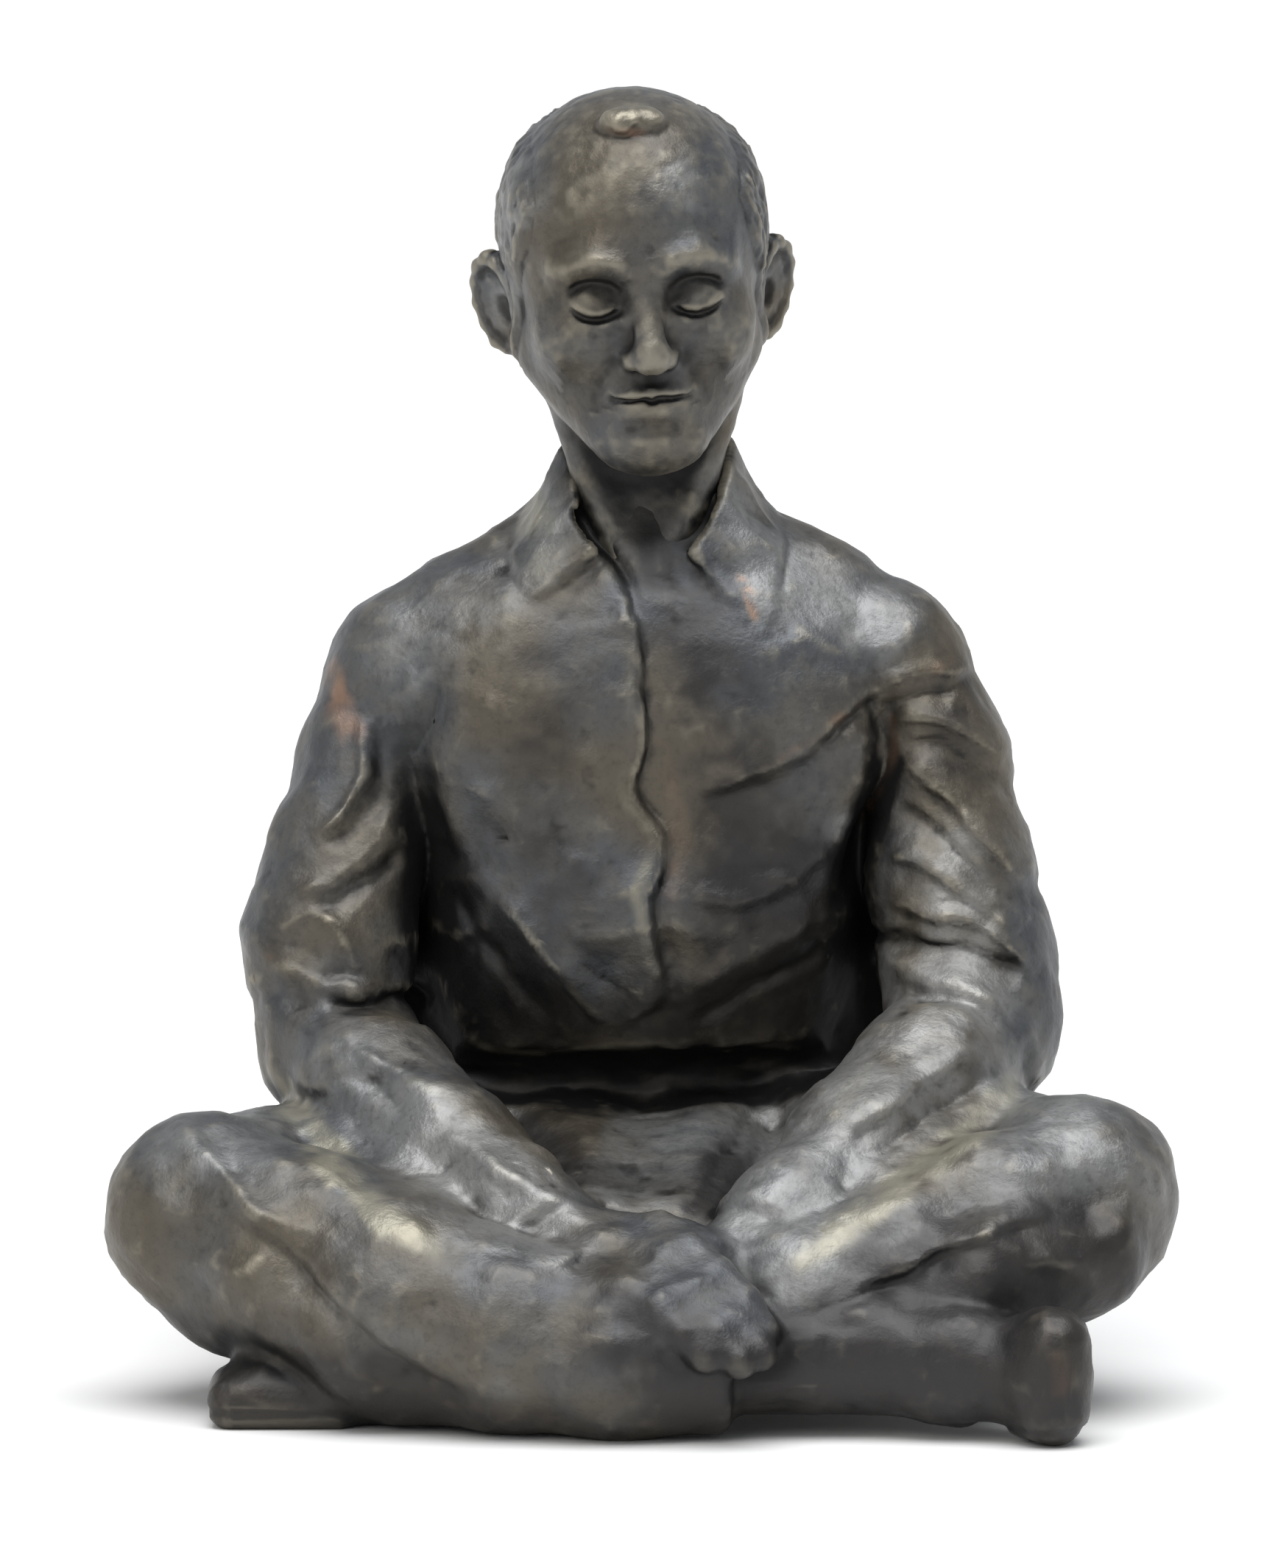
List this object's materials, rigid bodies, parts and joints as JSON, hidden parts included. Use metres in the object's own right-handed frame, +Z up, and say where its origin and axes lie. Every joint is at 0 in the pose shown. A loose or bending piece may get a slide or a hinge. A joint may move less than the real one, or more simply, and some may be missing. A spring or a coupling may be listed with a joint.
{
  "type": "seated figure sculpture",
  "caption": "Cast bronze tabletop sculpture of a man in shirt and trousers, sitting cross-legged with his hands folded over his ankles.",
  "frame": {"origin": "on the floor under the middle of the seat", "axes": "+Z up, the figure faces -Y and its left hand side is +X"},
  "size_m": [0.204, 0.1774, 0.2508],
  "materials": {
    "patinated_bronze": "satin dark grey-brown patina, rubbed to lighter copper on the high places"
  },
  "bodies": {
    "root": {"seated_man": "patinated_bronze"}
  },
  "joints": []
}
